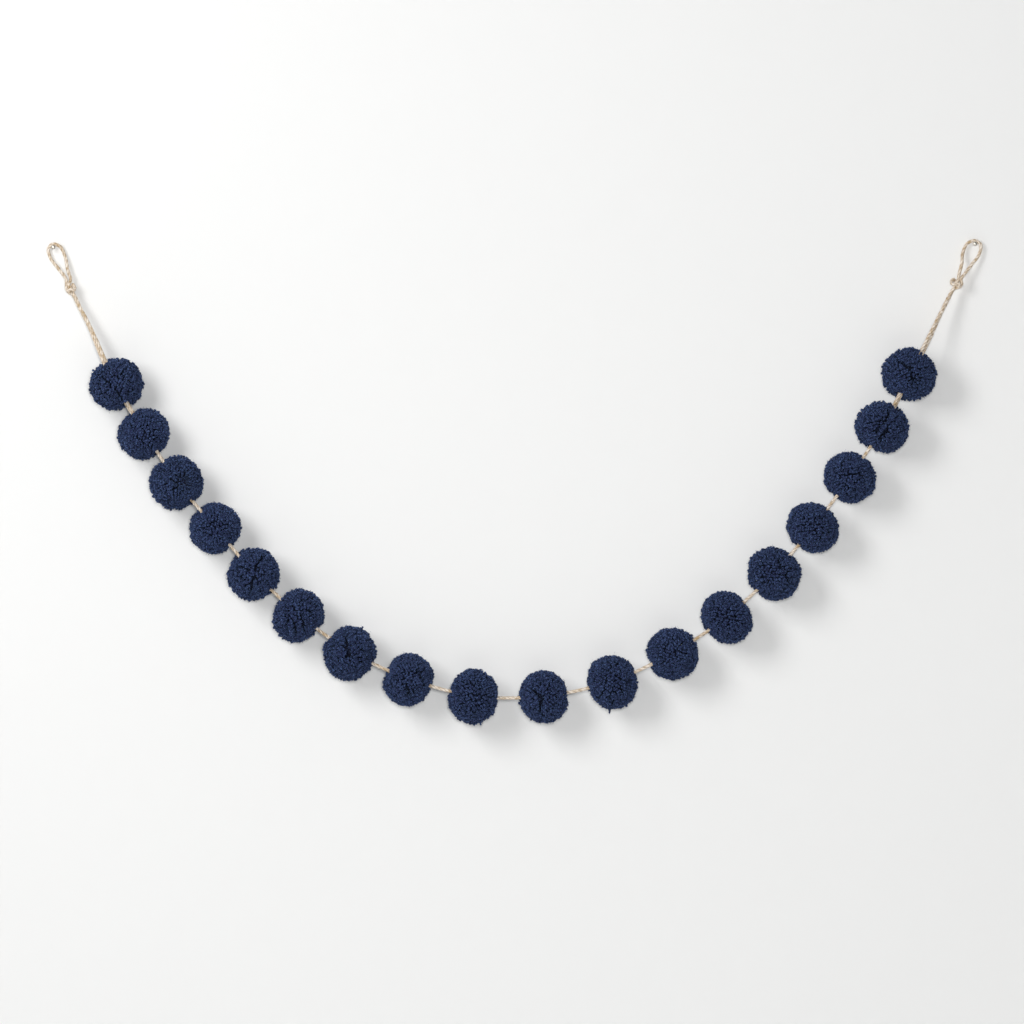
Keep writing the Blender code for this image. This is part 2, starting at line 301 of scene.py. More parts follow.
def plain_marks(stacks: int, levels: int) -> np.ndarray:
    """Marks of one half for that many stacks and their rings and tips."""
    return np.full((stacks, levels + 1, 4), 0.5)


def place(across: float, drop: float, depth: float) -> tuple[float, float, float]:
    """A point's x, y and z, from how far right of the left pin, below it and into the wall it is."""
    return (across, depth, -drop)


def run_along(line: np.ndarray) -> np.ndarray:
    """How far along the line each of its points is."""
    return np.concatenate([[0.0], np.cumsum(np.linalg.norm(np.diff(line, axis=0), axis=1))])


def spike_rings(start: np.ndarray, way: np.ndarray, beside: np.ndarray, thick: np.ndarray) -> np.ndarray:
    """Three points round the foot of each spike, square to its way.

    Args:
        start: the middles of the feet.
        way: the ways that the spikes point.
        beside: any other way for each, which sets where the first point is.
        thick: how far the points are from the middle.

    Returns:
        The points as stack, ring, side and x, y, z.
    """
    side = unit(np.cross(way, beside))
    square = np.cross(way, side)
    around = turns_of(3)[None, :, None]
    ring = start[:, None] + thick * (np.cos(around) * side[:, None] + np.sin(around) * square[:, None])
    return ring[:, None]


def evenly(line: np.ndarray, steps: int) -> np.ndarray:
    """The line again, as that many evenly spaced points."""
    length = run_along(line)
    at = np.linspace(0.0, length[-1], steps)
    return np.stack([np.interp(at, length, line[:, axis]) for axis in range(3)], axis=1)


def smooth_route(knots: np.ndarray, steps: int) -> np.ndarray:
    """Evenly spaced points on a cubic curve through the given ones.

    Each span is the cubic that meets its two points with tangents that weigh the slopes of the spans beside
    them, the nearer one more.

    Args:
        knots: rows of x, y and z.
        steps: how many points to return.

    Returns:
        The points, as rows.
    """
    gaps = np.linalg.norm(np.diff(knots, axis=0), axis=1)
    along = np.concatenate([[0.0], np.cumsum(gaps)])
    slopes = np.diff(knots, axis=0) / gaps[:, None]
    tangents = np.empty_like(knots)
    tangents[0], tangents[-1] = slopes[0], slopes[-1]
    before, after = gaps[:-1, None], gaps[1:, None]
    tangents[1:-1] = (slopes[:-1] * after + slopes[1:] * before) / (before + after)
    fine = np.linspace(0.0, along[-1], max(40 * len(knots), 4 * steps))
    span = np.clip(np.searchsorted(along, fine, side="right") - 1, 0, len(gaps) - 1)
    share = ((fine - along[span]) / gaps[span])[:, None]
    width = gaps[span][:, None]
    curve = (
        (2 * share**3 - 3 * share**2 + 1) * knots[span]
        + (share**3 - 2 * share**2 + share) * width * tangents[span]
        + (3 * share**2 - 2 * share**3) * knots[span + 1]
        + (share**3 - share**2) * width * tangents[span + 1]
    )
    return evenly(curve, steps)


@dataclass(frozen=True)
class NavyYarn:
    """Acrylic knitting yarn, plied and dyed navy, cut and trimmed: matt, dense and a little heathered.

    The eye gets soft dark tufts with no gloss, a slight bloom where fibres stand up, and near black gaps, deepened
    by painted shade at the strands' roots and on the core.
    """

    deep: str = "#0b1028"
    mid: str = "#182142"
    light: str = "#4d6490"
    # The cut end's painted shade: a duller, darker navy
    cut: str = "#1f1d39"
    bloom: str = "#8fb0f0"
    roughness: float = 0.92
    plies: int = 3
    ply_turns: float = 2.2

    def material(self) -> bpy.types.Material:
        """Builds it: strand colours from the marks, painted shade at the roots and cut ends, painted sheen on the
        sides, streaks along the plies, fibre bump.
        """
        made = blank_material("navy_acrylic_yarn")
        tree = made.node_tree
        marks = add_node(tree, "ShaderNodeAttribute", attribute_name="marks")
        parts = add_node(tree, "ShaderNodeSeparateColor", {"Color": marks.outputs["Color"]})
        spot = add_node(tree, "ShaderNodeTexCoord").outputs["Object"]
        # Tufts of 1.4 mm, which show as single pixels, and fibres of 0.35 mm, which show close up
        tufts = noise(tree, spot, 1 / 0.0014, 2.0)
        fibres = noise(tree, spot, 1 / 0.00035, 3.0)
        strand = mixed(tree, parts.outputs["Red"], linear(self.deep), linear(self.mid))
        spark = ranged(tree, tufts, (0.45, 0.75), (0.0, 0.85))
        heather = mixed(tree, spark, strand, linear(self.light))
        # Painted shade and sheen: a strand is darkened towards its root, where the strands crowd, and its cut end is
        # painted duller, a painted shade for light lost in end-on fibres; its side is painted lightest and bluest, a
        # painted sheen
        end_shade_share = ranged(tree, marks.outputs["Alpha"], (0.2, 1.0), (0.0, 0.8))
        end_shaded = mixed(tree, end_shade_share, heather, linear(self.cut))
        shade_and_sheen = ranged(tree, parts.outputs["Green"], (0.0, 1.0), (0.05, 1.6))
        shaded_yarn = mixed(tree, 1.0, end_shaded, shade_and_sheen, "MULTIPLY")
        around = add_node(tree, "ShaderNodeUVMap", uv_map="along")
        twisted = add_node(tree, "ShaderNodeSeparateXYZ", {0: around.outputs["UV"]})
        turns = worked(tree, "MULTIPLY_ADD", twisted.outputs["Y"], self.ply_turns, twisted.outputs["X"])
        wave = worked(tree, "SINE", worked(tree, "MULTIPLY", turns, self.plies * math.tau))
        relief = worked(tree, "MULTIPLY_ADD", wave, 0.25, fibres)
        principled(
            tree,
            {
                "Base Color": shaded_yarn,
                "Roughness": self.roughness,
                "Specular IOR Level": 0.2,
                "Sheen Weight": 0.5,
                "Sheen Roughness": 0.3,
                "Sheen Tint": linear(self.bloom),
                "Normal": bumped(tree, relief, 0.8, 0.0005),
            },
        )
        return made


@dataclass(frozen=True)
class JuteTwine:
    """Three-ply jute garden twine, natural and unpolished: dry straw plies, grooves darkened with painted shade, and
    loose hairs.
    """

    crown: str = "#efe4d6"
    streak: str = "#bba17c"
    # The grooves' painted shade
    groove: str = "#6e5136"
    roughness: float = 0.85

    def material(self) -> bpy.types.Material:
        """Builds it: straw streaks along the plies, painted shade in the grooves between them, and fibre bump."""
        made = blank_material("natural_jute_twine")
        tree = made.node_tree
        marks = add_node(tree, "ShaderNodeAttribute", attribute_name="marks")
        parts = add_node(tree, "ShaderNodeSeparateColor", {"Color": marks.outputs["Color"]})
        around = add_node(tree, "ShaderNodeUVMap", uv_map="along")
        # The UV map turns with the plies: about 34 fibres show round the twine, each about 9 mm long
        inputs = {"Vector": around.outputs["UV"], "Scale": (34.0, 110.0, 1.0)}
        drawn = add_node(tree, "ShaderNodeMapping", inputs).outputs[0]
        fibres = noise(tree, drawn, 1.0, 3.0)
        spot = add_node(tree, "ShaderNodeTexCoord").outputs["Object"]
        # Paler and darker flecks, 3.5 mm from one to the next
        flecks = noise(tree, spot, 1 / 0.0035, 1.5)
        tone = worked(tree, "MULTIPLY_ADD", fibres, 0.6, flecks)
        spread = ranged(tree, tone, (0.66, 1.0), (0.0, 1.0))
        straw = mixed(tree, spread, linear(self.crown), linear(self.streak))
        # Painted shade: the grooves between the plies are painted towards the dark brown
        groove_shade_share = ranged(tree, parts.outputs["Green"], (0.05, 0.6), (0.62, 0.0))
        principled(
            tree,
            {
                "Base Color": mixed(tree, groove_shade_share, straw, linear(self.groove)),
                "Roughness": self.roughness,
                "Specular IOR Level": 0.3,
                "Sheen Weight": 0.1,
                "Sheen Roughness": 0.5,
                "Normal": bumped(tree, fibres, 0.7, 0.0003),
            },
        )
        return made


@dataclass(frozen=True)
class BrightSteel:
    """Nickel-plated steel wire and head, drawn and pressed: a clean bright metal with fine rings on its head."""

    colour: str = "#c9c4ba"
    roughness: float = 0.42

    def material(self) -> bpy.types.Material:
        """Builds it: one metal, its roughness broken by fine turned rings."""
        made = blank_material("nickel_plated_steel")
        tree = made.node_tree
        around = add_node(tree, "ShaderNodeUVMap", uv_map="along")
        # Fine rings along the profile, drawn this coarse so that they show close up
        inputs = {"Vector": around.outputs["UV"], "Scale": (3.0, 90.0, 1.0)}
        rings = noise(tree, add_node(tree, "ShaderNodeMapping", inputs).outputs[0], 1.0, 2.0)
        principled(
            tree,
            {
                "Base Color": linear(self.colour),
                "Metallic": 1.0,
                "Roughness": ranged(tree, rings, (0.3, 0.7), (self.roughness - 0.06, self.roughness + 0.08)),
                "Normal": bumped(tree, rings, 0.15, 0.0001),
            },
        )
        return made


@dataclass(frozen=True)
class WallPaint:
    """Matt white emulsion on a smooth wall. Only its front shows: from behind it is clear."""

    colour: str = "#ebebea"

    def material(self) -> bpy.types.Material:
        """Builds it: a dull white front with a roller's faint nap, and a see-through back."""
        made = blank_material("matt_wall_paint")
        tree = made.node_tree
        spot = add_node(tree, "ShaderNodeTexCoord").outputs["Object"]
        # A roller's nap of 2.5 mm
        nap = noise(tree, spot, 1 / 0.0025, 2.0)
        paint = add_node(
            tree,
            "ShaderNodeBsdfPrincipled",
            {
                "Base Color": linear(self.colour),
                "Roughness": 0.95,
                "Specular IOR Level": 0.1,
                "Normal": bumped(tree, nap, 0.04, 0.0005),
            },
        )
        clear = add_node(tree, "ShaderNodeBsdfTransparent")
        behind = add_node(tree, "ShaderNodeNewGeometry").outputs["Backfacing"]
        both = add_node(tree, "ShaderNodeMixShader", {0: behind, 1: paint.outputs[0], 2: clear.outputs[0]})
        add_node(tree, "ShaderNodeOutputMaterial", {"Surface": both.outputs[0]})
        return made


@dataclass(frozen=True)
class Lamp:
    """A soft light, a rectangle: where it is, the point that it faces, its width and height, and its watts."""

    name: str
    spot: tuple[float, float, float]
    aim: tuple[float, float, float]
    size: tuple[float, float]
    power: float

    def build(self) -> None:
        """Makes the light, unseen by the camera."""
        data = bpy.data.lights.new(self.name, "AREA")
        data.shape = "RECTANGLE"
        data.size, data.size_y = self.size[0] * MM, self.size[1] * MM
        data.energy = self.power
        made = put(self.name, data)
        made.location = Vector(self.spot) * MM
        made.rotation_euler = (Vector(self.aim) - Vector(self.spot)).to_track_quat("-Z", "Y").to_euler()
        made.visible_camera = False


# A near soft window at the upper left, a far lamp in front, and a wide one behind the wall, which lights the
# garland's back through the wall's clear side
LAMPS = (
    Lamp("window", (-800.0, -1700.0, 550.0), (350.0, 0.0, -200.0), (750.0, 1200.0), 25.0),
    Lamp("fill", (560.0, -5200.0, -60.0), (2200.0, 0.0, -200.0), (600.0, 600.0), 112.0),
    Lamp("behind", (426.0, 2600.0, 500.0), (426.0, 0.0, -220.0), (2200.0, 2200.0), 22.0),
)


@dataclass(frozen=True)
class Studio:
    """The room: a camera square to the wall, soft lamps, and a white wall that turns into a floor."""

    frame_width: float = 948.2
    frame_middle: tuple[float, float] = (426.1, -246.0)
    garland_depth: float = -27.4
    camera_distance: float = 7000.0
    sensor: float = 36.0
    wall_gap: float = 0.3
    wall_top: float = 1700.0
    cove_start: float = -1350.0
    cove_radius: float = 350.0
    floor_reach: float = 4200.0
    half_width: float = 2900.0
    air_colour: str = "#f4f5f7"
    air_strength: float = 0.25

    def camera(self) -> bpy.types.Object:
        """Makes the scene's camera: its lens spans the frame's width at the garland's depth."""
        data = bpy.data.cameras.new("camera")
        data.sensor_width = self.sensor
        data.lens = self.sensor * (self.camera_distance + self.garland_depth) / self.frame_width
        data.clip_start, data.clip_end = 0.1, 60.0
        made = put("camera", data)
        across, height = self.frame_middle
        made.location = Vector((across, -self.camera_distance, height)) * MM
        made.rotation_euler = (math.pi / 2, 0.0, 0.0)
        bpy.context.scene.camera = made
        return made

    def light(self) -> None:
        """Lights the room with its lamps and with pale air."""
        for lamp in LAMPS:
            lamp.build()
        world = bpy.data.worlds.new("air")
        bpy.context.scene.world = world
        world.use_nodes = True
        world.node_tree.nodes.clear()
        inputs = {"Color": linear(self.air_colour), "Strength": self.air_strength}
        air = add_node(world.node_tree, "ShaderNodeBackground", inputs)
        add_node(world.node_tree, "ShaderNodeOutputWorld", {"Surface": air.outputs[0]})
        bpy.context.scene.view_settings.view_transform = "Standard"

    def backdrop(self, paint: bpy.types.Material) -> bpy.types.Object:
        """Makes the wall and floor as one sheet: a profile down the wall, round a quarter turn and out along the
        floor, carried along the room's width.

        Args:
            paint: what it is painted with.

        Returns:
            The sheet.
        """
        turn = np.linspace(0.0, math.pi / 2, 17)
        cove = np.stack(
            [
                self.wall_gap - self.cove_radius * (1 - np.cos(turn)),
                self.cove_start - self.cove_radius * np.sin(turn),
            ],
            axis=1,
        )
        top = [[self.wall_gap, self.wall_top]]
        out = [[-self.floor_reach, self.cove_start - self.cove_radius]]
        profile = np.vstack([top, cove, out])
        across = np.array([-self.half_width, self.half_width]) + self.frame_middle[0]
        grid = np.stack(
            [
                np.repeat(across[None], len(profile), axis=0),
                np.repeat(profile[:, :1], 2, axis=1),
                np.repeat(profile[:, 1:], 2, axis=1),
            ],
            axis=-1,
        )
        row = np.arange(len(profile) - 1)
        quads = np.stack([2 * row, 2 * row + 2, 2 * row + 3, 2 * row + 1], axis=1)
        mesh = bpy.data.meshes.new("wall_and_floor")
        mesh.from_pydata((grid.reshape(-1, 3) * MM).tolist(), [], quads.tolist())
        mesh.shade_smooth()
        mesh.materials.append(paint)
        made = put("wall_and_floor", mesh)
        made.visible_shadow = False
        return made


@dataclass(frozen=True)
class Feature:
    """A place on the side of a pompom that faces the room where the strands lie in their own way.

    Places are shares of the pompom's radius, right of its middle and above it, and the amount is in millimetres.
    """

    lie: Lie
    at: tuple[float, float]
    to: tuple[float, float] = (0.0, 0.0)
    reach: float = 0.3
    amount: float = 3.0

    swept_sink: float = 0.06
    fan_sink: float = 0.10
    fan_middle: float = 0.12
    parting_sink: float = 0.8
    parting_core: float = 0.45

    def lean_and_rise(self, seen: np.ndarray) -> tuple[np.ndarray, np.ndarray]:
        """Works out how far each end leans and rises there, fading as a bell curve of its distance over the reach.

        Args:
            seen: each end's place, as rows of shares right and up.

        Returns:
            The lean right and up, as rows, and the rise, one number each, in millimetres.
        """
        start, stop = np.array(self.at), np.array(self.to)
        away = seen - start
        if self.lie is Lie.PARTING:
            run = stop - start
            share = np.clip(away @ run / (run @ run), 0.0, 1.0)
            away = seen - (start + share[:, None] * run)
        distance = np.linalg.norm(away, axis=1)
        fade = np.exp(-((distance / self.reach) ** 2))
        if self.lie is Lie.SWEPT:
            return unit(stop[None])[0] * (self.amount * fade)[:, None], -self.swept_sink * self.amount * fade
        if self.lie is Lie.HOLLOW:
            return np.zeros_like(seen), -self.amount * fade
        if self.lie is Lie.FAN:
            middle = 1 - np.exp(-((distance / self.fan_middle) ** 2))
            return unit(away) * (self.amount * fade * middle)[:, None], -self.fan_sink * self.amount * fade
        core = np.exp(-((distance / (self.parting_core * self.reach)) ** 2))
        return unit(away) * (self.amount * fade)[:, None], -self.parting_sink * self.amount * core


@dataclass(frozen=True)
class Stray:
    """One strand that was missed when the pompom was trimmed: where it stands, how far out, and its lean."""

    at: tuple[float, float]
    rise: float
    lean: tuple[float, float] = (0.0, 0.0)


@dataclass(frozen=True)
class Pompom:
    """One pompom: where its middle is, its size, and what is its own in how its strands lie.

    Its surface is an oval with low lumps. A thousand cut strands stand in it, on a spiral from pole to pole that
    is shaken a little. They make way for the twine, and part where it comes out, as a rule most at the lower end.
    """

    number: int
    across: float
    drop: float
    width: float
    length: float
    features: tuple[Feature, ...] = ()
    strays: tuple[Stray, ...] = ()
    notch: float = 3.0
    entry: float = 0.6
    rough: float = 1.0

    depth: float = -27.4
    twine_forward: float = 4.0
    strands: int = 1000
    strand_radius: float = 1.3
    root_depth: float = 6.0
    core_depth: float = 5.5
    end_depth: float = 0.95
    uneven: float = 0.72
    levels: tuple[float, ...] = (0.0, 0.92, 0.98, 1.0)
    swell: tuple[float, ...] = (0.8, 1.04, 0.76)
    # Painted shade along a strand, root to tip: darkest at the root, where strands crowd, lightest on the side, a
    # painted sheen
    shade: tuple[float, ...] = (0.0, 0.64, 0.84, 0.8)
    # How far each ring and the tip take the duller cut-end colour: a painted shade for light lost in end-on fibres
    cut: tuple[float, ...] = (0.0, 0.0, 0.3, 1.0)
    lump: float = 0.8
    lump_size: float = 0.9
    sides: int = 5
    notch_angle: float = math.radians(17)
    twine_angle: float = math.radians(7.5)
    fuzz: int = 2200
    fuzz_thick: tuple[float, float] = (0.10, 0.17)
    fuzz_length: tuple[float, float] = (0.8, 1.9)

    def axes(self, tangent: np.ndarray) -> np.ndarray:
        """Its own axes as rows: towards the room, sideways, and along the twine."""
        along = unit(tangent)
        sideways = unit(np.cross(along, TO_ROOM))
        return np.stack([np.cross(sideways, along), sideways, along])

    def exits(self, axes: np.ndarray, doubled: tuple[bool, bool], tail_side: np.ndarray) -> Exits:
        """Where the twine comes out.

        Args:
            axes: its own axes.
            doubled: whether two strands come out at the far end of the twine and at the near end.
            tail_side: the way from the main strand to the tail beside it.

        Returns:
            For each end, its direction, the depth of the parting there, and the angle that the twine fills.
        """
        found = []
        for way, two in zip((1.0, -1.0), doubled):
            middle = self.twine_forward * axes[0] + way * self.length / 2 * axes[2]
            if two:
                middle = middle + 1.4 * tail_side
            depth = self.notch if axes[2][2] * way < 0 else self.entry
            found.append((unit(middle), depth, self.twine_angle * (1.35 if two else 1.0)))
        return found

    def radius(self, ways: np.ndarray, axes: np.ndarray, exits: Exits) -> np.ndarray:
        """How far its surface is from its middle, each way.

        Args:
            ways: unit vectors, as rows.
            axes: its own axes.
            exits: where the twine comes out.

        Returns:
            The oval's radius, one over the root of the squared shares of width and length, with smooth noise for
            its lumps and a bell curve cut out at each end of the twine.
        """
        share = (ways @ axes[2]) ** 2
        oval = 1 / np.sqrt((1 - share) / (self.width / 2) ** 2 + share / (self.length / 2) ** 2)
        oval = oval + self.lump * self.rough * ripple(ways, self.lump_size, 40 + self.number)
        for way, depth, _ in exits:
            angle = np.arccos(np.clip(ways @ way, -1.0, 1.0))
            oval = oval - depth * np.exp(-((angle / self.notch_angle) ** 2))
        return oval

    def directions(self, axes: np.ndarray, exits: Exits, draw: np.random.Generator) -> np.ndarray:
        """The way that each strand stands: a golden spiral from pole to pole, shaken, then moved off the twine.

        Args:
            axes: its own axes.
            exits: where the twine comes out.
            draw: the source of chance.

        Returns:
            Unit vectors, as rows.
        """
        index = np.arange(self.strands)
        height = 1 - (2 * index + 1) / self.strands
        level = np.sqrt(1 - height**2)
        angle = index * math.pi * (3 - math.sqrt(5)) + 0.9 * self.number
        local = np.stack([level * np.cos(angle), level * np.sin(angle), height], axis=1)
        ways = unit(local @ axes + draw.normal(0.0, 0.018, local.shape))
        for way, _, room in exits:
            cosine = np.clip(ways @ way, -1.0, 1.0)
            wider = np.sqrt(np.arccos(cosine) ** 2 + room**2)
            level = unit(ways - cosine[:, None] * way)
            moved = np.cos(wider)[:, None] * way + np.sin(wider)[:, None] * level
            ways = np.where(cosine[:, None] > 0.2, moved, ways)
        return ways

    def strand_skin(
        self, axes: np.ndarray, exits: Exits, draw: np.random.Generator
    ) -> tuple[Skin, np.ndarray, np.ndarray]:
        """Builds all the strands.

        Each strand starts inside and curves out to its end: the direction turns from its own by the lean times the
        1.8th power of the way along, and the distance grows with the 0.7th power. Its section is a five-sided
        ring, slightly oval, which turns along the strand. It is fullest near its end, a low ragged dome.

        Args:
            axes: its own axes.
            exits: where the twine comes out.
            draw: the source of chance.

        Returns:
            The skin, the ends' places about the middle, and the ways that the ends point.
        """
        ways = self.directions(axes, exits, draw)
        seen = ways[:, [0, 2]]
        front = np.clip(-2.5 * ways[:, 1] + 0.25, 0.0, 1.0)
        sway = np.stack([ripple(ways, 0.55, 100 * self.number + part) for part in range(3)], axis=1)
        lean = 0.4 * self.rough * sway + draw.normal(0.0, 0.22, ways.shape)
        rise = draw.normal(0.0, self.uneven * self.rough, len(ways)).clip(-1.7, 1.3)
        for feature in self.features:
            aside, up = feature.lean_and_rise(seen)
            lean[:, 0] += front * aside[:, 0]
            lean[:, 2] += front * aside[:, 1]
            rise += front * up
        girth = self.strand_radius * draw.uniform(0.86, 1.12, len(ways))
        for stray in self.strays:
            spot = np.array(stray.at)
            behind = math.sqrt(max(0.0, 1 - spot @ spot))
            found = (ways @ unit(np.array([spot[0], -behind, spot[1]]))).argmax()
            rise[found] += stray.rise
            lean[found] += np.array([stray.lean[0], 0.0, stray.lean[1]])
            girth[found] *= 0.72
        lean -= (lean * ways).sum(axis=1, keepdims=True) * ways
        surface = self.radius(ways, axes, exits)
        ends = unit(ways * surface[:, None] + lean)
        reach = self.radius(ends, axes, exits) - self.end_depth + rise
        share = np.array(self.levels[:-1])
        turned = unit(ways[:, None] * surface[:, None, None] + lean[:, None] * (share**1.8)[None, :, None])
        out = (surface - self.root_depth)[:, None] + (reach - surface + self.root_depth)[:, None] * share**0.7
        middles = turned * out[..., None]
        pointing = unit(np.gradient(middles, axis=1))
        aside = unit(np.cross(pointing, unit(draw.normal(size=(len(ways), 1, 3)))))
        level = np.cross(pointing, aside)
        around = turns_of(self.sides)
        swell = np.array(self.swell) * girth[:, None]
        twist = draw.uniform(0.0, math.tau, (len(ways), 1, 1)) + 1.4 * share[None, :, None]
        wave = 1 + 0.05 * np.cos(2 * around) + 0 * twist
        ragged = draw.normal(0.0, 1.0, wave.shape) * np.array([0.0, 0.05, 0.05])[None, :, None]
        size = (swell[..., None] * (wave + ragged))[..., None]
        angle = (around + twist)[..., None]
        outward = np.cos(angle) * aside[:, :, None] + np.sin(angle) * level[:, :, None]
        rings = middles[:, :, None] + size * outward
        tips = middles[:, -1] + pointing[:, -1] * (0.36 * girth)[:, None]
        tips = tips + (0.1 * girth)[:, None] * draw.normal(0.0, 1.0, tips.shape)
        marks = np.ones((len(ways), 4, 4))
        marks[..., 0] = draw.beta(2.0, 2.0, (len(ways), 1))
        # Green: the painted shade and sheen along the strand; alpha: the cut end's painted shade
        marks[..., 1] = np.array(self.shade)
        marks[..., 3] = np.array(self.cut)
        marks[..., 2] = draw.uniform(0.0, 1.0, (len(ways), 1))
        skin = capped_rings(rings, tips, np.array(self.levels), marks)
        return skin, middles[:, -1], pointing[:, -1]

    def core_skin(self, axes: np.ndarray, exits: Exits) -> Skin:
        """The dense middle that shows between strands: the same surface, further in, as rings, darkened with painted
        shade.
        """
        height = np.linspace(math.pi - 0.02, 0.02, 12)
        around = turns_of(18)
        local = np.stack(
            [
                np.sin(height)[:, None] * np.cos(around),
                np.sin(height)[:, None] * np.sin(around),
                np.cos(height)[:, None] + 0 * around,
            ],
            axis=-1,
        )
        ways = local @ axes
        far = self.radius(ways.reshape(-1, 3), axes, exits).reshape(ways.shape[:2]) - self.core_depth
        rings = (ways * far[..., None])[None]
        tip = axes[2][None] * (self.length / 2 - self.core_depth)
        marks = plain_marks(1, 12)
        # Painted shade: the core is darkened to about a third of the yarn's colour
        marks[..., 1] = 0.2
        return capped_rings(rings, tip, np.linspace(0.0, 1.0, 13), marks)

    def fuzz_skin(self, ends: np.ndarray, pointing: np.ndarray, draw: np.random.Generator) -> Skin:
        """Single fibres that stand out of the cut ends, each a thin three-sided spike.

        Args:
            ends: the strands' ends about the middle.
            pointing: the ways that they point.
            draw: the source of chance.

        Returns:
            The skin.
        """
        chosen = draw.integers(0, len(ends), self.fuzz)
        way = unit(pointing[chosen] + draw.normal(0.0, 0.55, (self.fuzz, 3)))
        start = ends[chosen] + draw.normal(0.0, 0.75, (self.fuzz, 3)) - 0.5 * pointing[chosen]
        beside = unit(draw.normal(size=(self.fuzz, 3)))
        rings = spike_rings(start, way, beside, draw.uniform(*self.fuzz_thick, (self.fuzz, 1, 1)))
        tips = start + way * draw.uniform(*self.fuzz_length, (self.fuzz, 1))
        # The fibres take none of the painted shade: full brightness and no cut end
        marks = np.ones((self.fuzz, 2, 4))
        marks[..., 0] = draw.uniform(0.3, 1.0, (self.fuzz, 1))
        marks[..., 3] = 0.0
        return capped_rings(rings, tips, np.array([0.9, 1.0]), marks)

    def build(self, tangent: np.ndarray, tail_side: np.ndarray, yarn: bpy.types.Material) -> bpy.types.Object:
        """Makes the pompom as one piece, in the place of its solid.

        Args:
            tangent: the way that the twine runs through it.
            tail_side: the way from the main strand to the tail beside it.
            yarn: what it is dressed in.

        Returns:
            The object.
        """
        draw = np.random.default_rng(7000 + self.number)
        axes = self.axes(tangent)
        last = len(POMPOMS)
        doubled = (self.number in (1, last - 1, last), self.number in (1, 2, last))
        exits = self.exits(axes, doubled, tail_side)
        strands, ends, pointing = self.strand_skin(axes, exits, draw)
        whole = joined([self.core_skin(axes, exits), strands, self.fuzz_skin(ends, pointing, draw)])
        points = whole.points + np.array(place(self.across, self.drop, self.depth))
        points[:, 1] = np.minimum(points[:, 1], OFF_WALL)
        moved = Skin(points, whole.faces, whole.marks, whole.uv)
        made = moved.mesh_object(f"yarn_pompom_{self.number:02d}", yarn)
        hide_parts(f"pompom_{self.number:02d}")
        return made


@dataclass(frozen=True)
class Knot:
    """A knot where the loop's outer leg is tied round the main strand: its middle, the way up, and its half sizes.

    The main strand runs straight through its middle. The tie goes down the outer side, behind the strand, up the
    inner side, across the front on a slant, and leaves below.
    """

    side: Side
    across: float
    drop: float
    depth: float
    up: tuple[float, float]
    half_width: float
    half_height: float

    def frame(self) -> tuple[np.ndarray, np.ndarray, np.ndarray]:
        """Its middle, the way up through it, and the way across it, to the outer side."""
        up = unit(np.array([self.up[0], 0.0, self.up[1]]))
        outward = self.side.value * np.array([up[2], 0.0, -up[0]])
        return np.array(place(self.across, self.drop, self.depth)), up, outward

    def on_axis(self, height: float) -> np.ndarray:
        """The point on its axis that far above its middle."""
        middle, up, _ = self.frame()
        return middle + height * up

    def tie(self) -> np.ndarray:
        """The tied leg's points, from the top down.

        Returns:
            Rows of x, y and z: each is the middle, plus the list's share of the half width outward, its share of the
            half height up, and its millimetres towards the room.
        """
        middle, up, outward = self.frame()
        share = np.array(TIE_LEFT if self.side is Side.LEFT else TIE_RIGHT)
        spread = share[:, :1] * self.half_width * outward + share[:, 1:2] * self.half_height * up
        return middle + spread + share[:, 2:] * TO_ROOM


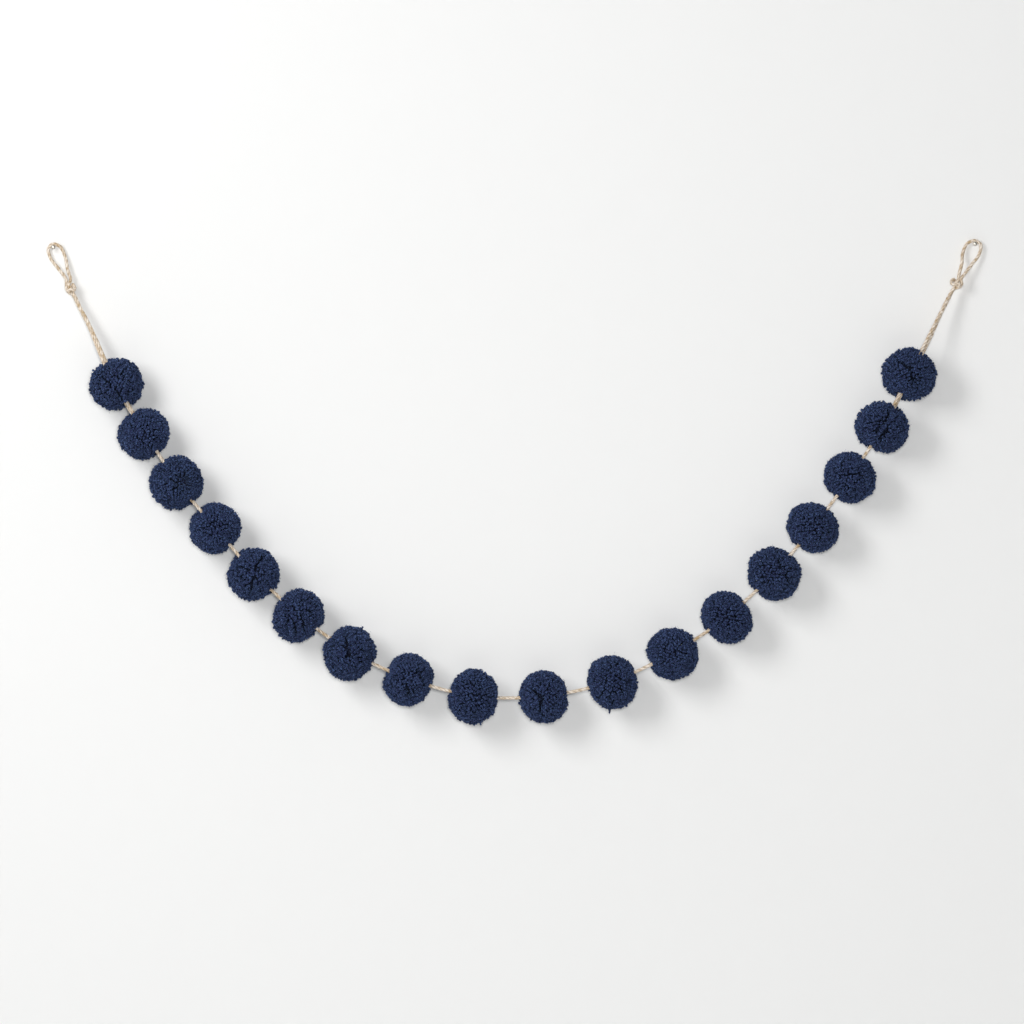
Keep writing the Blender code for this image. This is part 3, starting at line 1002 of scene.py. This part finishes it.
@dataclass
class Twine:
    """The one length of three-ply twine: a tail, a knot, a loop, the main strand, and the same at the other end."""

    diameter: float = 3.2
    gap: float = 0.3
    ply_pitch: float = 15.0
    ply_depth: float = 0.2
    ring_step: float = 0.85
    sides: int = 18
    forward_depth: float = -31.4
    tail_end_in_pompom: float = 9.0
    tail_turn: tuple[float, ...] = (70.0, 76.0, 50.0, 42.0, 64.0, 64.0)
    tail_skip: int = 6
    tail_step: int = 5
    main_points: int = 620
    main_step: int = 4
    above_knot: float = 4.6
    below_knot: float = 5.0
    hairs: int = 1300
    hair_thick: tuple[float, float] = (0.07, 0.13)
    hair_length: tuple[float, float] = (1.5, 4.5)
    # How far inside each pompom's middle the strand runs, towards the middle of the U
    inward: tuple[float, ...] = (
        0.6, 1.9, 1.3, 1.0, 1.15, 1.6, 1.9, 1.5, 1.0, 1.05, 1.0, 0.5, 0.5, 0.65, 0.0, 0.0, 0.2, 0.0,
    )
    left_knot: Knot = field(
        default_factory=lambda: Knot(Side.LEFT, 16.9, 38.8, -11.6, (-0.448, 0.894), 3.7, 4.8)
    )
    right_knot: Knot = field(
        default_factory=lambda: Knot(Side.RIGHT, 838.4, 33.4, -11.6, (0.467, 0.884), 5.2, 4.0)
    )

    def main_strand(self) -> np.ndarray:
        """The main strand from knot to knot, as points about 2 mm apart, just inside the pompoms' middles."""
        left, right = self.left_knot, self.right_knot
        middles = np.array([place(row.across, row.drop, self.forward_depth) for row in POMPOMS])
        inner = unit(np.cross(TO_ROOM, np.gradient(middles, axis=0)))
        points = [
            left.on_axis(-self.below_knot),
            place(23.3, 51.6, -14.6),
            place(34.9, 73.8, -19.6),
            *(middles + np.array(self.inward)[:, None] * inner),
            place(820.8, 66.5, -19.6),
            place(831.6, 45.6, -14.6),
            right.on_axis(-self.below_knot),
        ]
        return smooth_route(np.array(points), self.main_points)

    def tail(self, strand: np.ndarray) -> np.ndarray:
        """A tail's line: one twine's width beside the main strand, turned part of the way behind it.

        Args:
            strand: the stretch of the main strand beside it, from the knot to the tail's end.

        Returns:
            The line, as many points as the strand has.
        """
        ways = unit(np.gradient(strand, axis=0))
        outer = outer_side(ways, ways[0])
        behind = unit(np.cross(ways, np.cross(ways, TO_ROOM)))
        behind = behind * np.sign(behind[:, 1:2])
        share = np.linspace(0.0, 1.0, len(self.tail_turn))
        turn = np.radians(np.interp(np.linspace(0.0, 1.0, len(strand)), share, self.tail_turn))[:, None]
        return strand + (self.diameter + self.gap) * (outer * np.cos(turn) + behind * np.sin(turn))

    def stretch(self, strand: np.ndarray, pompom: Pompom) -> np.ndarray:
        """The main strand from its first point to where a tail ends, just above that pompom's middle."""
        end = np.array(place(pompom.across, pompom.drop - self.tail_end_in_pompom, self.forward_depth))
        return strand[: int(np.linalg.norm(strand - end, axis=1).argmin()) + 1]

    def route(self) -> np.ndarray:
        """The whole length's centre line, from tail end to tail end, as evenly spaced points."""
        main = self.main_strand()
        left_tail, right_tail = (
            self.tail(self.stretch(strand, pompom))[self.tail_skip :: self.tail_step]
            for strand, pompom in ((main, POMPOMS[1]), (main[::-1], POMPOMS[-2]))
        )
        left_loop = np.array([place(*point) for point in LOOP_LEFT])[::-1]
        right_loop = np.array([place(*point) for point in LOOP_RIGHT])
        knots = np.vstack(
            [
                left_tail[::-1],
                self.left_knot.tie()[::-1],
                left_loop,
                self.left_knot.on_axis(self.above_knot),
                main[:: self.main_step],
                self.right_knot.on_axis(self.above_knot),
                right_loop,
                self.right_knot.tie(),
                right_tail,
            ]
        )
        length = np.linalg.norm(np.diff(knots, axis=0), axis=1).sum()
        return smooth_route(knots, int(length / self.ring_step))

    def steady_frames(self, line: np.ndarray) -> tuple[np.ndarray, np.ndarray]:
        """Two directions square to the line at each point, carried on from ring to ring with no twist of their own.

        Args:
            line: the centre line.

        Returns:
            The two directions, as rows.
        """
        ways = unit(np.gradient(line, axis=0))
        aside = np.empty_like(ways)
        carried = np.cross(ways[0], TO_ROOM)
        for ring, way in enumerate(ways):
            carried = carried - (carried @ way) * way
            carried = carried / np.linalg.norm(carried)
            aside[ring] = carried
        return aside, np.cross(ways, aside)

    def build(self, jute: bpy.types.Material, along: np.ndarray) -> bpy.types.Object:
        """Makes the twine: three lobes round the centre line that turn with the plies, a groove between each two.

        Args:
            jute: what it is dressed in.
            along: the whole length's centre line.

        Returns:
            The object.
        """
        aside, level = self.steady_frames(along)
        run = run_along(along)
        around = turns_of(self.sides)
        lobe = np.abs(np.cos(1.5 * around)) ** 0.75
        swell = 1 + 0.045 * ripple(along, 9.0, 5)[:, None]
        radius = self.diameter / 2 * swell * (1 - self.ply_depth + self.ply_depth * lobe)
        angle = around + (math.tau * run / self.ply_pitch)[:, None]
        rings = along[:, None] + radius[..., None] * (
            np.cos(angle)[..., None] * aside[:, None] + np.sin(angle)[..., None] * level[:, None]
        )
        marks = np.ones((1, len(along) + 1, 4))
        heights = np.concatenate([run, run[-1:] + 0.5]) * MM
        tip = (along[-1] + unit(along[-1] - along[-2]) * 0.5)[None]
        skin = capped_rings(rings[None], tip, heights, marks)
        painted = skin.marks.copy()
        # Painted shade: the grooves between the plies are marked for the darker colour
        painted[:-1, 1] = np.tile(lobe, len(along))
        made = Skin(skin.points, skin.faces, painted, skin.uv).mesh_object("jute_twine_length", jute)
        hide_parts("twine")
        return made

    def build_hairs(self, jute: bpy.types.Material, along: np.ndarray) -> bpy.types.Object:
        """Makes the loose hairs: thin three-sided spikes that leave the twine's surface at a low angle.

        Args:
            jute: what they are dressed in.
            along: the whole length's centre line.

        Returns:
            The object.
        """
        draw = np.random.default_rng(51)
        aside, level = self.steady_frames(along)
        ways = unit(np.gradient(along, axis=0))
        at = draw.integers(12, len(along) - 12, self.hairs)
        angle = draw.uniform(0.0, math.tau, (self.hairs, 1))
        out = np.cos(angle) * aside[at] + np.sin(angle) * level[at]
        forward = ways[at] * draw.choice([-1.0, 1.0], (self.hairs, 1))
        lift = draw.uniform(0.15, 0.7, (self.hairs, 1))
        way = unit(forward + lift * out + draw.normal(0.0, 0.15, out.shape))
        start = along[at] + 0.82 * self.diameter / 2 * out
        rings = spike_rings(start, way, out, draw.uniform(*self.hair_thick, (self.hairs, 1, 1)))
        tips = start + way * draw.uniform(*self.hair_length, (self.hairs, 1))
        tips[:, 1] = np.minimum(tips[:, 1], OFF_WALL)
        skin = capped_rings(rings, tips, np.array([0.0, 0.003]), np.ones((self.hairs, 2, 4)))
        made = skin.mesh_object("jute_twine_hairs", jute)
        return made


@dataclass(frozen=True)
class WallPin:
    """A wall pin: a drawn shank that stands out of the wall, and a low domed head with a rolled edge."""

    side: Side
    across: float
    height: float
    shank: float = 0.8
    head: float = 2.0
    reach: float = 7.2
    head_thickness: float = 1.2
    sides: int = 40

    def profile(self) -> np.ndarray:
        """Radius and distance from the wall, from the foot to the crown: a quarter circle rounds the edge."""
        under = self.reach - self.head_thickness
        roll = 0.28 * self.head_thickness
        turn = np.linspace(-math.pi / 2, math.radians(62), 9)
        edge = np.stack([self.head - roll + roll * np.cos(turn), under + roll + roll * np.sin(turn)], axis=1)
        last = edge[-1]
        crown = np.linspace(1.0, 0.08, 8)[1:]
        dome = np.stack([last[0] * crown, last[1] + (self.reach - last[1]) * (1 - crown**2)], axis=1)
        fillet = np.array([[0.0, -under], [0.0, -0.25], [0.08, -0.07], [0.25, 0.0]]) + [self.shank, under]
        return np.vstack([[[0.02, 0.0]], fillet, edge, dome])

    def build(self, steel: bpy.types.Material) -> bpy.types.Object:
        """Turns the profile about the pin's axis: at each angle its radius goes across and up, its distance out.

        Args:
            steel: what it is dressed in.

        Returns:
            The object, in the place of its solid.
        """
        profile = self.profile()
        around = turns_of(self.sides)
        rings = np.stack(
            [
                self.across + profile[:, :1] * np.cos(around),
                -profile[:, 1:] + 0 * around,
                self.height + profile[:, :1] * np.sin(around),
            ],
            axis=-1,
        )[None]
        tip = np.array([[self.across, -self.reach, self.height]])
        heights = np.linspace(0.0, 1.0, len(profile) + 1)
        name = f"wall_pin_{self.side.name.lower()}"
        skin = capped_rings(rings, tip, heights, plain_marks(1, len(profile)))
        made = skin.mesh_object(f"steel_{name}", steel)
        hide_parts(name)
        return made


POMPOMS = [
    Pompom(
        1, 59.8, 128.0, 50.7, 48.5,
        features=(
            Feature(Lie.HOLLOW, (0.58, -0.24), reach=0.13, amount=3.0),
            Feature(Lie.PARTING, (-0.5, 0.35), (-0.2, 0.0), 0.16, 1.2),
            Feature(Lie.PARTING, (0.0, -0.2), (0.25, -0.6), 0.16, 1.2),
        ),
        strays=(
            Stray((-0.64, 0.69), 2.2, (-1.5, 1.0)),
            Stray((-0.83, 0.53), 3.2, (-1.0, 1.5)),
            Stray((-0.98, 0.07), 1.8, (0.0, -1.5)),
            Stray((0.35, 0.9), 1.6, (1.0, 0.5)),
            Stray((0.6, 0.78), 1.6, (0.5, 1.0)),
        ),
        notch=4.5,
        rough=1.25,
    ),
    Pompom(2, 85.4, 173.9, 49.6, 48.1, strays=(Stray((0.44, -0.07), 1.4, (0.5, 0.0)),), notch=4.2, rough=0.85),
    Pompom(
        3, 115.5, 219.2, 50.7, 50.2,
        features=(
            Feature(Lie.FAN, (0.33, 0.10), reach=0.6, amount=5.0),
            Feature(Lie.HOLLOW, (0.30, 0.12), reach=0.16, amount=3.0),
        ),
        strays=(Stray((0.10, -0.16), 0.8, (9.0, -8.0)), Stray((0.30, -0.25), 0.6, (7.0, -8.0))),
        rough=1.15,
    ),
    Pompom(
        4, 151.1, 261.2, 49.5, 47.8,
        features=(Feature(Lie.HOLLOW, (-0.75, 0.60), reach=0.2, amount=2.6),),
        rough=0.85,
    ),
    Pompom(
        5, 187.1, 303.5, 49.9, 49.4,
        features=(
            Feature(Lie.PARTING, (0.02, -0.10), (-0.12, -0.75), 0.16, 1.6),
            Feature(Lie.PARTING, (0.10, 0.20), (0.35, 0.72), 0.16, 1.6),
            Feature(Lie.PARTING, (-0.20, 0.15), (-0.62, 0.35), 0.14, 1.3),
            Feature(Lie.SWEPT, (0.05, -0.55), (0.1, -1.0), 0.3, 2.4),
        ),
        rough=1.1,
    ),
    Pompom(
        6, 228.3, 342.2, 51.6, 46.9,
        features=(
            Feature(Lie.PARTING, (-0.40, -0.20), (-0.44, -0.68), 0.13, 1.4),
            Feature(Lie.PARTING, (-0.10, -0.27), (-0.08, -0.75), 0.13, 1.4),
            Feature(Lie.PARTING, (0.20, -0.25), (0.26, -0.66), 0.13, 1.4),
        ),
        strays=(Stray((0.45, 0.13), 0.6, (7.0, 0.0)),),
    ),
    Pompom(
        7, 275.9, 377.0, 50.3, 48.9,
        features=(
            Feature(Lie.PARTING, (-0.16, 0.67), (-0.05, -0.05), 0.18, 2.0),
            Feature(Lie.PARTING, (0.52, 0.16), (0.74, -0.26), 0.16, 1.6),
            Feature(Lie.HOLLOW, (-0.72, 0.10), reach=0.2, amount=2.0),
        ),
        strays=(Stray((0.40, 0.88), 3.2, (0.5, 1.0)), Stray((0.93, 0.33), 1.6), Stray((-0.7, -0.7), 1.5)),
        notch=2.0,
        rough=1.3,
    ),
    Pompom(
        8, 330.0, 401.5, 50.7, 46.7,
        features=(
            Feature(Lie.PARTING, (0.40, 0.36), (0.66, -0.20), 0.15, 1.6),
            Feature(Lie.PARTING, (-0.06, -0.20), (0.08, -0.56), 0.14, 1.4),
            Feature(Lie.FAN, (0.12, -0.42), reach=0.3, amount=2.4),
        ),
        notch=2.0,
        entry=5.0,
        rough=0.8,
    ),
    Pompom(
        9, 390.3, 417.0, 52.4, 47.4,
        features=(
            Feature(Lie.HOLLOW, (0.09, -0.56), reach=0.15, amount=3.4),
            Feature(Lie.SWEPT, (0.35, 0.55), (0.7, 0.7), 0.25, 3.0),
        ),
        strays=(
            Stray((0.93, 0.34), 3.4, (1.0, 0.4)),
            Stray((0.90, 0.30), 2.4, (1.0, 0.4)),
            Stray((0.2, -0.97), 1.4),
        ),
        notch=1.0,
        rough=1.1,
    ),
    Pompom(
        10, 455.3, 417.4, 50.9, 46.8,
        features=(
            Feature(Lie.PARTING, (-0.36, 0.28), (-0.08, 0.0), 0.14, 1.8),
            Feature(Lie.PARTING, (-0.08, 0.0), (-0.13, -0.56), 0.15, 2.0),
        ),
        notch=1.0,
        rough=0.75,
    ),
    Pompom(
        11, 519.1, 403.4, 51.9, 47.6,
        features=(
            Feature(Lie.HOLLOW, (0.40, 0.0), reach=0.14, amount=3.0),
            Feature(Lie.PARTING, (-0.30, -0.30), (-0.52, -0.60), 0.14, 1.6),
            Feature(Lie.PARTING, (-0.14, -0.50), (0.02, -0.80), 0.13, 1.6),
            Feature(Lie.HOLLOW, (-0.25, 0.35), reach=0.3, amount=1.6),
        ),
        strays=(Stray((-0.02, -0.99), 4.6, (-1.2, -0.5)), Stray((-0.08, -0.96), 2.6, (0.0, -1.0))),
        notch=1.0,
        rough=1.1,
    ),
    Pompom(12, 574.8, 377.1, 50.0, 48.7, notch=1.5, rough=1.0),
    Pompom(13, 624.9, 343.5, 51.8, 46.9, notch=2.5, entry=3.2, rough=0.85),
    Pompom(
        14, 668.6, 303.3, 52.0, 49.4,
        features=(
            Feature(Lie.HOLLOW, (-0.38, 0.20), reach=0.14, amount=2.6),
            Feature(Lie.HOLLOW, (-0.18, 0.12), reach=0.12, amount=2.4),
            Feature(Lie.PARTING, (0.22, 0.25), (0.15, 0.62), 0.12, 1.3),
            Feature(Lie.PARTING, (0.45, -0.10), (0.55, -0.40), 0.12, 1.3),
        ),
        rough=1.1,
    ),
    Pompom(
        15, 704.4, 260.6, 51.0, 46.6,
        features=(Feature(Lie.HOLLOW, (0.26, -0.32), reach=0.13, amount=2.2),),
        rough=0.8,
    ),
    Pompom(
        16, 738.8, 214.1, 50.6, 47.1,
        features=(
            Feature(Lie.PARTING, (-0.20, 0.10), (0.32, 0.18), 0.12, 1.1),
            Feature(Lie.PARTING, (-0.18, -0.30), (0.15, -0.52), 0.12, 1.1),
        ),
        strays=(Stray((0.02, -0.99), 2.4, (0.6, -0.4)),),
        rough=0.9,
    ),
    Pompom(
        17, 768.9, 167.7, 51.0, 48.1,
        features=(
            Feature(Lie.PARTING, (0.22, 0.62), (0.0, 0.20), 0.14, 1.8),
            Feature(Lie.PARTING, (-0.05, 0.30), (-0.27, -0.12), 0.14, 1.8),
            Feature(Lie.PARTING, (0.12, -0.08), (-0.10, -0.42), 0.14, 1.5),
        ),
        notch=5.5,
        rough=1.15,
    ),
    Pompom(
        18, 793.7, 118.8, 51.8, 49.4,
        features=(
            Feature(Lie.PARTING, (-0.40, 0.46), (0.0, 0.22), 0.15, 1.8),
            Feature(Lie.PARTING, (0.0, 0.22), (0.12, -0.20), 0.14, 1.6),
            Feature(Lie.FAN, (0.25, -0.20), reach=0.35, amount=2.4),
        ),
        notch=8.0,
        rough=1.2,
    ),
]

# The tied leg of each knot, from the top down: shares of the half width outward and of the half height up,
# and millimetres towards the room. The right knot is wider, so its inner points are drawn in and no hole shows
TIE_LEFT = [
    (0.50, 1.10, 0.3), (0.92, 0.55, 0.5), (0.96, -0.25, 0.2), (0.60, -0.82, -1.4),
    (-0.05, -0.35, -3.3), (-0.55, 0.45, -2.6), (-0.88, 0.55, -0.6), (-0.92, -0.15, 1.0),
    (-0.45, -0.55, 3.0), (0.12, -0.12, 3.9), (0.58, -0.25, 3.2), (0.58, -0.78, 1.8),
    (0.30, -1.20, -0.6),
]
TIE_RIGHT = [
    (0.50, 1.10, 0.3), (0.90, 0.50, 0.5), (0.94, -0.15, 0.2), (0.62, -0.72, -1.4),
    (0.00, -0.30, -3.3), (-0.35, 0.30, -2.8), (-0.72, 0.46, -0.8), (-0.90, -0.20, 0.8),
    (-0.55, -0.72, 2.8), (0.05, -0.25, 3.9), (0.58, 0.05, 3.2), (0.66, -0.55, 2.2),
    (0.35, -1.05, 0.3), (0.20, -1.30, -0.6),
]

# Each loop's own points (across, drop, depth), from the knot round the pin and back to the knot
LOOP_LEFT = [
    (16.2, 31.6, -9.8), (13.6, 21.0, -7.2), (10.6, 7.6, -4.4), (5.9, -0.9, -3.4),
    (-0.3, -3.0, -3.4), (-4.6, 1.1, -3.4), (-3.2, 8.6, -4.4), (5.2, 20.4, -7.0),
    (12.3, 30.4, -9.6),
]
LOOP_RIGHT = [
    (841.0, 26.4, -9.8), (843.9, 14.4, -7.0), (845.1, 4.8, -4.2), (849.6, -3.9, -3.4),
    (855.9, -6.1, -3.4), (861.4, -2.5, -3.4), (860.6, 5.4, -4.2), (853.2, 16.0, -7.0),
    (846.4, 25.0, -9.6),
]


def main() -> None:
    logging.basicConfig(level=logging.INFO, format="%(message)s")
    studio = Studio()
    studio.camera()
    studio.light()
    studio.backdrop(WallPaint().material())

    jute, yarn, steel = JuteTwine().material(), NavyYarn().material(), BrightSteel().material()
    twine = Twine()
    centre_line = twine.route()
    cord = twine.build(jute, centre_line)
    twine.build_hairs(jute, centre_line)
    main_strand = twine.main_strand()
    ways = np.gradient(main_strand, axis=0)
    for row in POMPOMS:
        middle = np.array(place(row.across, row.drop, twine.forward_depth))
        tangent = unit(ways[np.linalg.norm(main_strand - middle, axis=1).argmin()])
        row.build(tangent, outer_side(tangent, tangent), yarn)
    WallPin(Side.LEFT, 0.0, 0.0).build(steel)
    WallPin(Side.RIGHT, 856.3, 3.1).build(steel)

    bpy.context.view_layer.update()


if __name__ == "__main__":
    main()
